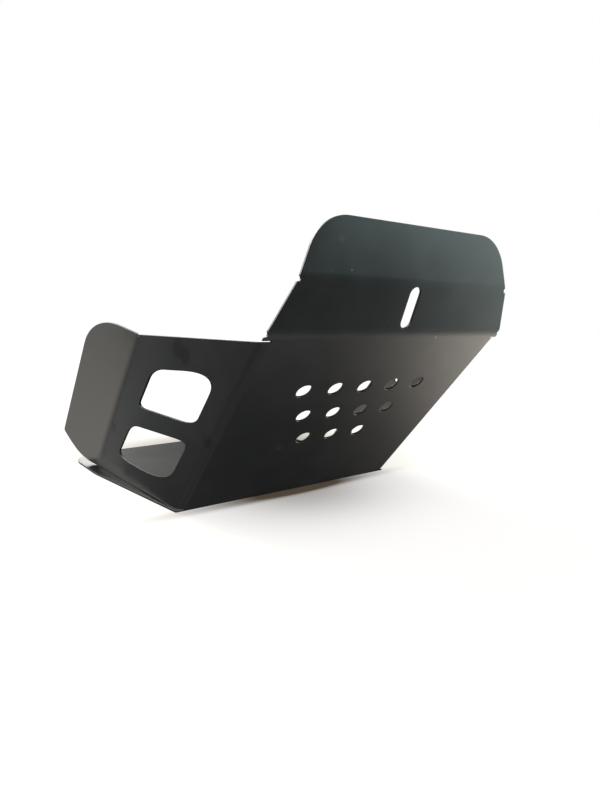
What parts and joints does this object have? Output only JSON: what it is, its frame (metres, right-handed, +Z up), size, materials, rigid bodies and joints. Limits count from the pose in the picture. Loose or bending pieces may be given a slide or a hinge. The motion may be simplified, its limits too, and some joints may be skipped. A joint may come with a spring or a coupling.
{
  "type": "motorcycle skid plate",
  "caption": "Folded steel skid plate with a flat floor, a sloping vented front, an upright lip, a bolt slot and windowed side wings, one flanged; shields a motorcycle engine from below.",
  "frame": {"origin": "middle of the floor panel's flat underside, on the plane of symmetry of floor and ramp", "axes": "+Z up, +Y to the rear of the motorcycle, +X to the side of the short wing"},
  "size_m": [0.28, 0.4004, 0.2235],
  "materials": {
    "powder_coat": "satin black powder coat with a fine texture"
  },
  "bodies": {
    "root": {"skid_plate": "powder_coat"}
  },
  "joints": []
}
